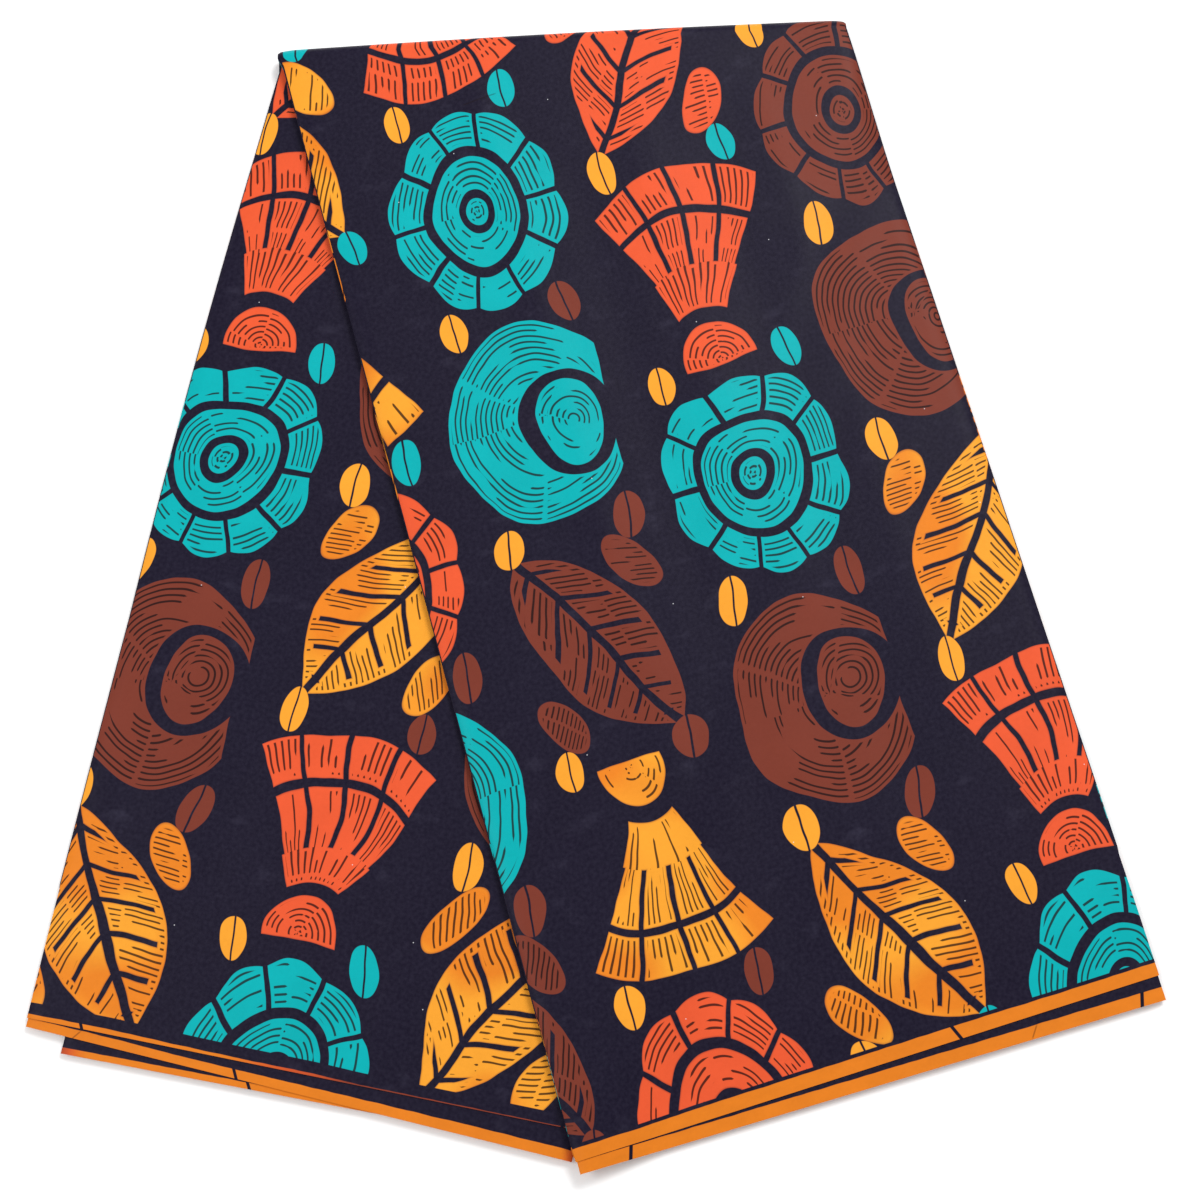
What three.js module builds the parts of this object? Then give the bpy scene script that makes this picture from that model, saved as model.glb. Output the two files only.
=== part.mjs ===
// A length of wax print cloth, fan-folded into a strip of many plies. The strip is folded over once at the
// top and its two legs are swivelled apart, so that it lies flat as an upturned V: the front leg runs down
// to the right and lies over the back leg, which runs down to the left.
// Millimetres, +Z up, the cloth rests on Z = 0, and the origin is under the middle of its box.
import * as THREE from "three";

// ---- Driving dimensions ----

// The legs' plan, seen from above. Angles are counted from +X. Lengths run from the top fold along a side.
const FOLD_WIDTH = 319; // along the top fold
const FOLD_ANGLE = 3.4;
const FOLD_ARCH = 1.4; // how far the top fold swells outwards at its middle
const FOLD_ARCH_REACH = 150; // how far down the legs that swell fades out
const FRONT_LEFT_ANGLE = -74.4;
const FRONT_RIGHT_ANGLE = -74.2;
const BACK_LEFT_ANGLE = -102.2;
const BACK_RIGHT_ANGLE = -103.7; // the back leg narrows a little towards its end
const FRONT_LEFT_LENGTH = 626.5;
const FRONT_RIGHT_LENGTH = 549;
const BACK_LEFT_LENGTH = 541.5;
const BACK_RIGHT_LENGTH = 625;
const BACK_LEFT_BOW = 2.4; // how far the back leg's left side swells outwards at its middle

// The stack of plies in one leg. A depth is counted from the inner ply, which faces the other leg.
const PLY = 1.0; // wall of one modelled ply
const GAP = 0.3; // air between pieces that touch
const LEG_THICKNESS = 6.2; // about 17 plies of 0.36 mm
const OUTER_UNDER = LEG_THICKNESS - PLY;
const HIDDEN_LOW = PLY + GAP;
const HIDDEN_HIGH = OUTER_UNDER - GAP;
const SECOND_PLY_STEP = PLY + GAP; // what the hidden layers give up for a ply tucked under the face
const LEG_GAP = 0.3; // between the two legs where one lies on the other
const FOLD_RADIUS = LEG_THICKNESS + LEG_GAP / 2;

// The soft roll of the face ply over the stack's sides.
const ROLL_WIDTH = 11;
const ROLL_END_DEPTH = 2.9; // depth at which the rolled face ends
const ROLL_STEPS = 4;
const FLAT_EDGE_INSET = 0.5; // a ply that isn't rolled ends just inside the stack's side

// The front leg comes down to the floor past the back leg's right side.
const DROP_START = 3;
const DROP_WIDTH = 45;

// The ends of the plies, pressed flatter than the rest of the stack.
const END_PRESS = 1.2;
const END_PRESS_LENGTH = 40;

// Soft lengthwise creases, left from an earlier fold into quarters. Across is counted from the leg's left
// side, from and to run along it from the top fold, and rise is negative for a trough.
const FRONT_CREASES = [
  { across: 104, from: 10, to: 470, halfWidth: 20, rise: 0.7 },
  { across: 145, from: 60, to: 560, halfWidth: 24, rise: -0.6 },
  { across: 185, from: 10, to: 330, halfWidth: 20, rise: 0.6 },
  { across: 222, from: 40, to: 480, halfWidth: 22, rise: -0.5 },
  { across: 257, from: 20, to: 420, halfWidth: 18, rise: 0.5 },
];
const BACK_CREASES = [
  { across: 46, from: 150, to: 520, halfWidth: 22, rise: 0.5 },
  { across: 84, from: 90, to: 500, halfWidth: 22, rise: -0.5 },
  { across: 196, from: 300, to: 590, halfWidth: 22, rise: 0.5 },
];

// How far each piece runs past the face ply's end (negative is short of it), at its left and right side.
const FRONT_ENDS = {
  outer: { left: 0, right: 0 },
  second: { left: 6.5, right: 13 },
  hidden: { left: -4, right: -3 },
  inner: { left: -1.5, right: -1.5 },
};
const BACK_ENDS = {
  inner: { left: 0, right: 0 },
  second: { left: 5, right: 16.5 },
  third: { left: 15, right: 12 },
  hidden: { left: -3, right: 2 },
  outer: { left: -1, right: 6 },
};
const THIRD_PLY_INSET = 21; // its left side lies this far inside the back leg's
const END_STAGGER = [0, -2.5, -0.5, -3, 0]; // the hidden layers' end, level by level
const SIDE_GROOVES = [0, 0.8, 0, 0.8, 0]; // the hidden layers' side, level by level

// Where the grid lines run, as shares of a leg's length. The step is where the tucked plies begin.
const STEP_SHARE = 0.884;
const STEP_HALF = 0.004;
const STEP_LINES = [STEP_SHARE - STEP_HALF, STEP_SHARE, STEP_SHARE + STEP_HALF];
const FRONT_LINES = [0.03, 0.09, 0.18, 0.27, 0.36, 0.45, 0.54, 0.63, 0.72, 0.81, ...STEP_LINES, 0.93, 0.965];
const BACK_LINES = [0.04, 0.14, 0.28, 0.42, 0.56, 0.72, ...STEP_LINES, 0.93, 0.965];
const FOLD_STEPS = 6;
const FLAT_COLUMNS = 15;
const FOLD_EASE = 60; // the roll and the creases fade out this near the top fold

const NAVY = 0x282633;
const ORANGE = 0xe97f1f;
const CLOTH_ROUGHNESS = 0.82;

// ---- The plan ----

const direction = (degrees) => {
  const turn = THREE.MathUtils.degToRad(degrees);
  return new THREE.Vector2(Math.cos(turn), Math.sin(turn));
};
const mix = THREE.MathUtils.lerp;
const smooth = (value, low, high) => THREE.MathUtils.smoothstep(value, low, high);

const foldLeft = new THREE.Vector2(0, 0);
const foldAlong = direction(FOLD_ANGLE);
const foldRight = foldLeft.clone().addScaledVector(foldAlong, FOLD_WIDTH);
const foldOut = new THREE.Vector2(-foldAlong.y, foldAlong.x); // from the legs towards the fold's outside

const LEGS = {
  front: {
    left: direction(FRONT_LEFT_ANGLE),
    right: direction(FRONT_RIGHT_ANGLE),
    leftLength: FRONT_LEFT_LENGTH,
    rightLength: FRONT_RIGHT_LENGTH,
    bow: 0,
    creases: FRONT_CREASES,
  },
  back: {
    left: direction(BACK_LEFT_ANGLE),
    right: direction(BACK_RIGHT_ANGLE),
    leftLength: BACK_LEFT_LENGTH,
    rightLength: BACK_RIGHT_LENGTH,
    bow: BACK_LEFT_BOW,
    creases: BACK_CREASES,
  },
};

// The point at a share of the leg's width, and at distances along its left and right side.
function planPoint(leg, across, leftRun, rightRun) {
  const left = foldLeft.clone().addScaledVector(leg.left, leftRun);
  const right = foldRight.clone().addScaledVector(leg.right, rightRun);
  const point = left.lerp(right, across);
  point.x -= leg.bow * (1 - across) * Math.sin(Math.PI * Math.min(leftRun / leg.leftLength, 1));
  const archShare = Math.sin(Math.PI * across) * (1 - smooth(leftRun, 0, FOLD_ARCH_REACH));
  return point.addScaledVector(foldOut, FOLD_ARCH * archShare);
}

// How far a point lies to the right of the back leg's right side.
function pastBackLeg(point) {
  const side = LEGS.back.right;
  const offset = point.clone().sub(foldRight);
  return offset.y * side.x - offset.x * side.y;
}

// The height of the front leg's underside: on the back leg, and down to the floor past it.
function frontBase(point) {
  const down = smooth(pastBackLeg(point), DROP_START, DROP_START + DROP_WIDTH);
  return (LEG_THICKNESS + LEG_GAP) * (1 - down);
}

// How much a leg's stack rises or sinks at a place, in millimetres at its top.
function relief(leg, across, run) {
  const runLength = mix(leg.leftLength, leg.rightLength, across);
  const place = across * FOLD_WIDTH;
  let rise = -END_PRESS * smooth(run, runLength - END_PRESS_LENGTH, runLength);
  for (const crease of leg.creases) {
    const side = Math.abs(place - crease.across) / crease.halfWidth;
    if (side < 1) {
      const fade = FOLD_EASE / 2;
      const begun = smooth(run, crease.from, crease.from + fade);
      const ended = smooth(run, crease.to - fade, crease.to);
      rise += crease.rise * begun * (1 - ended) * (0.5 + 0.5 * Math.cos(Math.PI * side));
    }
  }
  return rise;
}

// ---- The stack ----

// Columns across the strip: the left roll, the flat middle and the right roll. A roll column holds its turn
// from flat, 0, to upright, 90 degrees. A flat column holds its share of the flat width.
const COLUMNS = [];
for (let step = ROLL_STEPS; step >= 0; step--) {
  COLUMNS.push({ side: -1, turn: (step / ROLL_STEPS) * (Math.PI / 2) });
}
for (let step = 1; step < FLAT_COLUMNS; step++) {
  COLUMNS.push({ side: 0, share: step / FLAT_COLUMNS });
}
for (let step = 0; step <= ROLL_STEPS; step++) {
  COLUMNS.push({ side: 1, turn: (step / ROLL_STEPS) * (Math.PI / 2) });
}

// A column's point on the surface at one depth of the stack: its distance from the leg's left side, and its
// depth. rollOn names the leg on whose face the surface rolls down at the sides, on ellipses that share one
// centre line. rollShare is how much of that roll it has.
function stackPoint(column, depth, rollShare, rollOn) {
  if (column.side === 0) {
    return { inset: mix(ROLL_WIDTH, FOLD_WIDTH - ROLL_WIDTH, column.share), depth };
  }
  const fromFarFace = rollOn === "front" ? depth : LEG_THICKNESS - depth;
  const ellipseHeight = Math.max(fromFarFace - ROLL_END_DEPTH, 0);
  const ellipseWidth = ROLL_WIDTH - (LEG_THICKNESS - fromFarFace);
  const rolled = ellipseHeight > 0 ? rollShare : 0;
  const reach = mix(ROLL_WIDTH - FLAT_EDGE_INSET, ellipseWidth, rolled);
  const inset = ROLL_WIDTH - reach * Math.sin(column.turn);
  const sunk = rolled * ellipseHeight * (1 - Math.cos(column.turn));
  return {
    inset: column.side < 0 ? inset : FOLD_WIDTH - inset,
    depth: rollOn === "front" ? depth - sunk : depth + sunk,
  };
}

// Rows along the strip, from the front leg's end over the top fold to the back leg's end. Each leg may have
// more than one end row, the furthest last.
function rowsOf(frontEnds, backEnds, firstShare = 0) {
  const rows = [];
  if (frontEnds.length) {
    for (const end of [...frontEnds].reverse()) rows.push({ leg: "front", end });
    for (const share of [...FRONT_LINES].reverse()) {
      if (share > firstShare) rows.push({ leg: "front", share });
    }
  }
  if (frontEnds.length && backEnds.length) {
    rows.push({ leg: "front", share: 0 });
    for (let step = 1; step < FOLD_STEPS; step++) {
      rows.push({ leg: "fold", turn: (step / FOLD_STEPS) * Math.PI });
    }
    rows.push({ leg: "back", share: 0 });
  }
  if (backEnds.length) {
    for (const share of BACK_LINES) {
      if (share > firstShare) rows.push({ leg: "back", share });
    }
    for (const end of backEnds) rows.push({ leg: "back", end });
  }
  return rows;
}

// How much of the roll a surface has in a row: all of it on its own leg, none on the other.
function rollShareOf(row, rollOn) {
  let frontShare = 0.5;
  if (row.leg !== "fold") {
    const leg = LEGS[row.leg];
    const run = row.end ? leg.leftLength : row.share * leg.leftLength;
    const away = 0.5 * smooth(run, 0, FOLD_EASE);
    frontShare = row.leg === "front" ? 0.5 + away : 0.5 - away;
  }
  return rollOn === "front" ? frontShare : 1 - frontShare;
}

// The place in space of a stack point in a row.
function spacePoint(row, point, stagger) {
  const across = point.inset / FOLD_WIDTH;
  if (row.leg === "fold") {
    const foot = planPoint(LEGS.front, across, 0, 0);
    const radius = point.depth + LEG_GAP / 2;
    foot.addScaledVector(foldOut, radius * Math.sin(row.turn));
    return new THREE.Vector3(foot.x, foot.y, FOLD_RADIUS + radius * Math.cos(row.turn));
  }
  const leg = LEGS[row.leg];
  let leftRun = (row.share ?? 1) * leg.leftLength;
  let rightRun = (row.share ?? 1) * leg.rightLength;
  if (row.end) {
    leftRun += row.end.left + stagger;
    rightRun += row.end.right + stagger;
  }
  const foot = planPoint(leg, across, leftRun, rightRun);
  const stretch = 1 + relief(leg, across, mix(leftRun, rightRun, across)) / LEG_THICKNESS;
  const fromUnderside = row.leg === "front" ? point.depth : LEG_THICKNESS - point.depth;
  const base = row.leg === "front" ? frontBase(foot) : 0;
  return new THREE.Vector3(foot.x, foot.y, base + fromUnderside * stretch);
}

// ---- Solids ----

// One closed solid between two surfaces of the stack. Each surface gives its depth in a row. Grooves and
// stagger hold one number for each edge line that its sides and ends show.
function stackSolid(shape) {
  const levelCount = shape.grooves ? shape.grooves.length : 2;
  const leftInset = shape.leftInset ?? 0;
  const rowCount = shape.rows.length;
  const columnCount = COLUMNS.length;
  const positions = [];
  const numbers = new Map();

  const pointAt = (columnNumber, rowNumber, level) => {
    const key = `${columnNumber},${rowNumber},${level}`;
    if (numbers.has(key)) return numbers.get(key);
    const column = COLUMNS[columnNumber];
    const row = shape.rows[rowNumber];
    const share = level / (levelCount - 1);
    const [low, high] = [shape.low, shape.high].map(({ depth, rollOn }) =>
      stackPoint(column, depth(row), rollShareOf(row, rollOn), rollOn),
    );
    const point = { inset: mix(low.inset, high.inset, share), depth: mix(low.depth, high.depth, share) };
    point.inset = mix(leftInset, FOLD_WIDTH, point.inset / FOLD_WIDTH);
    if (shape.grooves && columnNumber === 0) point.inset += shape.grooves[level];
    if (shape.grooves && columnNumber === columnCount - 1) point.inset -= shape.grooves[level];
    const place = spacePoint(row, point, shape.stagger ? shape.stagger[level] : 0);
    positions.push(place.x, place.y, place.z);
    numbers.set(key, positions.length / 3 - 1);
    return positions.length / 3 - 1;
  };

  const triangles = [];
  // Both faces of a ply are split along the same diagonal, so that nested plies stay parallel.
  const quad = ([a, b, c, d], facesUp) => {
    if (facesUp) triangles.push(a, b, c, a, c, d);
    else triangles.push(a, d, c, a, c, b);
  };
  const lastColumn = columnCount - 1;
  const lastRow = rowCount - 1;
  const lastLevel = levelCount - 1;
  for (let row = 0; row < lastRow; row++) {
    for (let column = 0; column < lastColumn; column++) {
      for (const level of [0, lastLevel]) {
        const corners = [
          pointAt(column, row, level),
          pointAt(column + 1, row, level),
          pointAt(column + 1, row + 1, level),
          pointAt(column, row + 1, level),
        ];
        quad(corners, level === lastLevel);
      }
    }
    for (let level = 0; level < lastLevel; level++) {
      for (const column of [0, lastColumn]) {
        const corners = [
          pointAt(column, row, level),
          pointAt(column, row, level + 1),
          pointAt(column, row + 1, level + 1),
          pointAt(column, row + 1, level),
        ];
        quad(corners, column === 0);
      }
    }
  }
  for (let column = 0; column < lastColumn; column++) {
    for (let level = 0; level < lastLevel; level++) {
      for (const row of [0, lastRow]) {
        const corners = [
          pointAt(column, row, level),
          pointAt(column + 1, row, level),
          pointAt(column + 1, row, level + 1),
          pointAt(column, row, level + 1),
        ];
        quad(corners, row === 0);
      }
    }
  }
  const geometry = new THREE.BufferGeometry();
  geometry.setAttribute("position", new THREE.Float32BufferAttribute(positions, 3));
  geometry.setIndex(triangles);
  geometry.computeVertexNormals();
  return geometry;
}

// A surface that stays at one depth all along.
const level = (depth, rollOn) => ({ depth: () => depth, rollOn });

// A surface of the hidden layers, which gives way where plies are tucked in beside it on one leg.
const steppedLevel = (depth, rollOn, legName, change) => ({
  depth: (row) => {
    const share = row.end ? 1 : row.share ?? 0;
    return row.leg === legName && share >= STEP_SHARE ? depth + change : depth;
  },
  rollOn,
});

function outerPly() {
  return stackSolid({
    rows: rowsOf([FRONT_ENDS.outer], [BACK_ENDS.outer]),
    low: level(OUTER_UNDER, "front"),
    high: level(LEG_THICKNESS, "front"),
  });
}

function innerPly() {
  return stackSolid({
    rows: rowsOf([FRONT_ENDS.inner], [BACK_ENDS.inner]),
    low: level(0, "back"),
    high: level(PLY, "back"),
  });
}

function hiddenLayers() {
  return stackSolid({
    rows: rowsOf([FRONT_ENDS.hidden], [BACK_ENDS.hidden]),
    low: steppedLevel(HIDDEN_LOW, "back", "back", 2 * SECOND_PLY_STEP),
    high: steppedLevel(HIDDEN_HIGH, "front", "front", -SECOND_PLY_STEP),
    grooves: SIDE_GROOVES,
    stagger: END_STAGGER,
  });
}

function frontSecondPly() {
  return stackSolid({
    rows: rowsOf([FRONT_ENDS.outer, FRONT_ENDS.second], [], STEP_SHARE),
    low: level(HIDDEN_HIGH - PLY, "front"),
    high: level(HIDDEN_HIGH, "front"),
  });
}

function backSecondPly() {
  return stackSolid({
    rows: rowsOf([], [BACK_ENDS.inner, BACK_ENDS.second], STEP_SHARE),
    low: level(HIDDEN_LOW, "back"),
    high: level(HIDDEN_LOW + PLY, "back"),
  });
}

function backThirdPly() {
  return stackSolid({
    rows: rowsOf([], [BACK_ENDS.inner, BACK_ENDS.third], STEP_SHARE),
    low: level(HIDDEN_LOW + SECOND_PLY_STEP, "back"),
    high: level(HIDDEN_LOW + SECOND_PLY_STEP + PLY, "back"),
    leftInset: THIRD_PLY_INSET,
  });
}

// ---- The group ----

const PIECES = [
  { name: "outer_ply", make: outerPly, color: NAVY },
  { name: "inner_ply", make: innerPly, color: NAVY },
  { name: "hidden_layers", make: hiddenLayers, color: NAVY },
  { name: "front_second_ply", make: frontSecondPly, color: ORANGE },
  { name: "back_second_ply", make: backSecondPly, color: ORANGE },
  { name: "back_third_ply", make: backThirdPly, color: ORANGE },
];

const cloth = new THREE.Group();
for (const piece of PIECES) {
  const material = new THREE.MeshStandardMaterial({
    color: piece.color,
    roughness: CLOTH_ROUGHNESS,
    metalness: 0,
  });
  const mesh = new THREE.Mesh(piece.make(), material);
  mesh.name = piece.name;
  cloth.add(mesh);
}

// The middle of the cloth's box goes over the origin.
const middle = new THREE.Box3().setFromObject(cloth).getCenter(new THREE.Vector3());
cloth.position.set(-middle.x, -middle.y, 0);

export default cloth;
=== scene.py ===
"""A fan-folded length of wax print cloth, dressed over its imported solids.

The cloth is folded into a strip of many plies, and the strip is folded over once at the top, so that its
two legs lie as an upturned V. Sizes in tables are millimetres; every mesh is made in metres.
"""

import math

import bpy
import numpy as np
from bpy.props import FloatProperty, FloatVectorProperty, PointerProperty
from bpy.types import Operator, Panel, PropertyGroup
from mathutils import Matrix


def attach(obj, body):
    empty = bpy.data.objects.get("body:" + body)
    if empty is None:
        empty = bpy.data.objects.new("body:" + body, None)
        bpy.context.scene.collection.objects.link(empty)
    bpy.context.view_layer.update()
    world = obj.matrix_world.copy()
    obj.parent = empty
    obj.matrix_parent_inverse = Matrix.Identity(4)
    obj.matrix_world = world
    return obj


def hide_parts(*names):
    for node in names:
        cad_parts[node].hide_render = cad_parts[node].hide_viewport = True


bl_info = {
    "name": "Folded Wax Print Fabric",
    "version": (1, 0, 0),
    "blender": (4, 5, 0),
    "location": "3D View > Sidebar > Wax Print",
    "description": "Adds the plies of a folded wax print cloth, their print and a studio",
    "category": "Add Mesh",
}

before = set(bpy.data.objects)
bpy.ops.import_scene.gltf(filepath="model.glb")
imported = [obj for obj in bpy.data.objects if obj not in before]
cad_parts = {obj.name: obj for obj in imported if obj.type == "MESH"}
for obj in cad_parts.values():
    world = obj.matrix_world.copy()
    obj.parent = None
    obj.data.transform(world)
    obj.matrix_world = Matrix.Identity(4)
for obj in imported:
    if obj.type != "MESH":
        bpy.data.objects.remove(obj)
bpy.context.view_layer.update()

MM = 0.001

# ---- Sizes of the folded cloth, in millimetres ----

FOLD_LEFT = (-177.90, 292.25)  # the left end of the top fold, in the part's frame
FOLD_WIDTH = 319.0
FOLD_ANGLE = 3.4
FOLD_ARCH = 1.4
FOLD_ARCH_REACH = 150.0
FRONT_LEG = {
    "left": -74.6,
    "right": -74.2,
    "left_length": 626.5,
    "right_length": 549.0,
    "bow": 0.0,
    "shoulder": 0.0,
}
BACK_LEG = {
    "left": -102.2,
    "right": -103.7,
    "left_length": 541.5,
    "right_length": 625.0,
    "bow": 2.4,
    "shoulder": 1.6,
}
FOLD_TIP = 1.7  # how far the fold's left corner sticks out
FOLD_TIP_SHARE = 0.03
FOLD_TIP_REACH = 5.0
SHOULDER_SHARE = 0.6  # the upper share of the leg along which its left side stands out a little more
LEGS = {"front": FRONT_LEG, "back": BACK_LEG}
CLOTH_WIDTH = 311.0  # one ply, square across

STACK = 6.2  # one leg's plies
LEG_GAP = 0.3
FOLD_RADIUS = STACK + LEG_GAP / 2
ROLL_WIDTH = 11.0
ROLL_END_DEPTH = 2.9
FACE_ROLL_TURN = 66.0  # degrees of the side roll that the face plies cover
DROP_START = 3.0
DROP_WIDTH = 45.0
END_PRESS = 1.2
END_PRESS_LENGTH = 40.0
FOLD_EASE = 60.0
STEP_SHARE = 0.884  # the share of a leg's length at which its tucked plies begin
FLAT_EDGE_INSET = 0.5  # a side that isn't rolled ends this far inside the stack's
END_TAKE_UP = 24  # the higher this power, the nearer to its end a leg takes up a run past it
WAVER_PHASES = {"front": 0.7, "back": 2.4}

# Soft lengthwise creases: across and run are counted from the leg's left side and from the top fold.
FRONT_CREASES = (
    {"across": 104, "from": 10, "to": 470, "half_width": 20, "rise": 0.7},
    {"across": 145, "from": 60, "to": 560, "half_width": 24, "rise": -0.6},
    {"across": 185, "from": 10, "to": 330, "half_width": 20, "rise": 0.6},
    {"across": 222, "from": 40, "to": 480, "half_width": 22, "rise": -0.5},
    {"across": 257, "from": 20, "to": 420, "half_width": 18, "rise": 0.5},
    {"across": 104, "from": 10, "to": 380, "half_width": 3.5, "rise": 0.12},
    {"across": 186, "from": 10, "to": 300, "half_width": 3.5, "rise": -0.12},
    {"across": 258, "from": 10, "to": 360, "half_width": 3.0, "rise": 0.10},
)
BACK_CREASES = (
    {"across": 46, "from": 150, "to": 520, "half_width": 22, "rise": 0.5},
    {"across": 84, "from": 90, "to": 500, "half_width": 22, "rise": -0.5},
    {"across": 196, "from": 300, "to": 590, "half_width": 22, "rise": 0.5},
    {"across": 80, "from": 120, "to": 480, "half_width": 3.0, "rise": 0.10},
)
CREASES = {"front": FRONT_CREASES, "back": BACK_CREASES}

# How far each ply runs past the face ply's end, at its left and right side.
FRONT_ENDS = {"face": (0.0, 0.0), "second": (6.4, 12.9), "hidden": (-2.0, -1.5), "inner": (-1.5, -1.5)}
BACK_ENDS = {
    "inner": (1.9, 0.0),
    "second": (6.3, 16.0),
    "third": (16.3, 10.5),
    "hidden": (-1.5, 3.0),
    "face": (-1.0, 6.0),
}
ENDS = {"front": FRONT_ENDS, "back": BACK_ENDS}
NO_END = (0.0, 0.0)
THIRD_PLY_INSET = 22.4

# How deep in a leg's stack its plies and its hidden layers begin, counted from the side that shows.
SKIN_DEPTH = 0.45
TUCKED_DEPTH = 0.75
LOWER_DEPTH = 1.5
FRONT_STEP_DEPTH = 1.25
BACK_STEP_DEPTH = 2.0
TUCKED_PAST = 10  # about how far a tucked ply runs past the face ply

# Rows along the front leg, the top fold and the back leg. Columns across the flat middle and each roll.
FACE_ROWS = (120, 16, 104)
LINING_ROWS = (104, 10, 120)
TUCKED_ROWS = 26
BUNDLE_ROWS = (96, 14, 96)
PLY_COLUMNS = (80, 9)
BUNDLE_COLUMNS = (40, 6)
SHEET_SMOOTH_ANGLE = 50
BUNDLE_SMOOTH_ANGLE = 60

# The hidden layers: fold loops down the sides, and staggered ply edges at the ends.
SIDE_FOLDS = 4
END_PLIES = 12
BUNDLE_LEVELS = 48
LOOP_BULGE = 1.3
LOOP_INSET = 0.25
END_GROOVE = 0.7
END_STAGGER = {
    "front": (-0.4, -2.2, -1.1, -2.9, -0.6, -1.9, -3.2, -0.9, -2.4, -1.3, -0.5, -1.8),
    "back": (-1.2, -0.4, -2.6, -1.5, -3.0, -0.8, -2.0, -0.3, -1.7, -2.8, -1.0, -2.2),
}
BUNDLE_MARGIN = 6.0
BUNDLE_END_HEM = 0.2
BUNDLE_SIDE_HEM = 1.5
FOLD_PRINT_PLACE = 590.0  # the print's place along the cloth at the top fold
LAYER_PRINT_STEP = 133.0  # how far the print moves across from one side fold to the next
DEPTH_PRINT_STEP = 2.0
LAST_FOLD_SHARE = 0.999  # keeps the last level in the last fold

# How far across the cloth the print starts on each ply.
PRINT_SHIFTS = {
    "face": 20.0,
    "inner": 171.0,
    "front_second": 411.0,
    "back_second": 610.0,
    "back_third": 655.0,
}

# The printed band along each ply's selvedge. The hem is how much is turned under and the next entry is how
# much the band is browned, each at shares of the width: on the inner ply the band turns red and red-brown,
# and on the tucked plies the browning is painted shade at their curled and turned-under ends. The tick is
# counted from the ply's left side, and lean is how far it slants to the right toward the edge. Margin is the
# plain stretch between the band and the motifs.
PLAIN_HEM = ((0.0, 1.0), (0.0, 0.0))
BORDERS = {
    "face": {
        "hem": ((0.0, 0.12, 0.21, 0.72, 0.82, 1.0), (0.3, 0.3, -0.4, -0.3, 0.1, 0.1)),
        "browning_and_shade": PLAIN_HEM,
        "tick": 203.7,
        "lean": 0.42,
        "margin": 2.0,
    },
    "inner": {
        "hem": ((0.0, 0.15, 0.3, 0.4, 0.52, 0.6, 1.0), (4.6, 4.3, 5.2, 5.5, 5.5, 6.25, 6.4)),
        # The band turns red, then red-brown, along its right part.
        "browning_and_shade": ((0.0, 0.37, 0.43, 0.53, 0.58, 1.0), (0.0, 0.0, 0.4, 0.6, 1.0, 1.0)),
        "tick": 34.6,
        "lean": 0.55,
        "margin": 6.0,
    },
    "front_second": {
        "hem": ((0.0, 1.0), (0.3, 0.0)),
        "browning_and_shade": PLAIN_HEM,
        "tick": 27.5,
        "lean": -0.3,
        "margin": 8.0,
    },
    "back_second": {
        "hem": ((0.0, 0.16, 0.3, 0.42, 0.62, 0.8, 1.0), (2.2, 2.2, 2.6, 2.3, 1.7, 1.3, 1.3)),
        # Painted shade: the band darkens at the ply's right tip, where it turns under.
        "browning_and_shade": ((0.0, 0.975, 1.0), (0.0, 0.0, 0.7)),
        "tick": 122.7,
        "lean": 0.6,
        "margin": 12.0,
    },
    "back_third": {
        "hem": ((0.0, 1.0), (3.6, 3.6)),
        # Painted shade: the band browns along the ply's curled-up left end.
        "browning_and_shade": ((0.0, 0.07, 0.12, 1.0), (1.0, 0.8, 0.0, 0.0)),
        "tick": 132.0,
        "lean": 0.65,
        "margin": 10.0,
    },
}
TICK_REPEAT = 269.0
TICK_HALF = 0.95

# Fine pressed creases, drawn as thin lines of painted shade on the cloth's own map: each one's middle, half
# its length, and its angle in degrees.
PAINTED_CREASE_SHADES = (
    {"across": -34.8, "along": 567.0, "half": 10.5, "angle": 3.6},
    {"across": 495.3, "along": 3.6, "half": 4.5, "angle": 55.0},
)

# The print's drawing, in millimetres.
SLOW_SIZE = 55.0
SLOW_REACH = 11.0
FINE_SIZE = 9.0
FINE_REACH = 0.7
MOTIF_SCALE = 0.965
TALL = 1.2  # crescents, roundels and fans are stretched this much along the cloth
SLIT_HALF = 1.2
PETALS = 5  # pairs of petals around a roundel
RIB_TURN = 0.27  # radians from one rib of a fan to the next
SEED_RADIUS = 7.5
SEED_SLIT = 0.5
BLOCK_LENGTH = 44.0
LINE_PITCH = 2.75
LINE_WIDTH = 0.58
RIM_SHARE = 0.35
CUT_LIGHTNESS = 0.11
VEIL_COLOUR = (0.28, 0.26, 0.40, 1.0)
LINT_COLOUR = (0.75, 0.75, 0.78, 1.0)
LINT_SPACING = 105.0
LINT_RADIUS = 0.26

# The cloth's finish.
CLOTH_MATERIAL = "wax_print_cotton"
CLOTH_SHEEN = 0.02
CLOTH_SHEEN_ROUGHNESS = 0.5
CLOTH_GLOSS = 0.075
CLOTH_ROUGHNESS = 0.36
THREAD = 0.36
BUMP_STRENGTH = 0.35
BUMP_HEIGHT = 0.0001

# The studio. Lengths here are metres, apart from the camera's aim and distance and its lens.
FLOOR_SIZE = 12.0
FLOOR_TOP = -0.0001
PAPER_ROUGHNESS = 0.9
PAPER_GLOSS = 0.1
KEY_SIZE = 1.1
KEY_PLACE = (0.87, 1.4, 2.1)
SIDE_SIZE = 0.7
SIDE_PLACE = (-1.18, -0.13, 1.66)
WHITE = (1.0, 1.0, 1.0, 1.0)
CAMERA_AIM = (1.57, -17.73)
CAMERA_DISTANCE = 1337.0
CAMERA_LENS = 75.0
CAMERA_SENSOR = 36.0
CAMERA_REACH = 50.0


# ---- What a user may change ----


def distance(name, description, default, low, high):
    """A length property, in metres."""
    return FloatProperty(
        name=name,
        description=description,
        default=default,
        min=low,
        max=high,
        subtype="DISTANCE",
        unit="LENGTH",
    )


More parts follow.
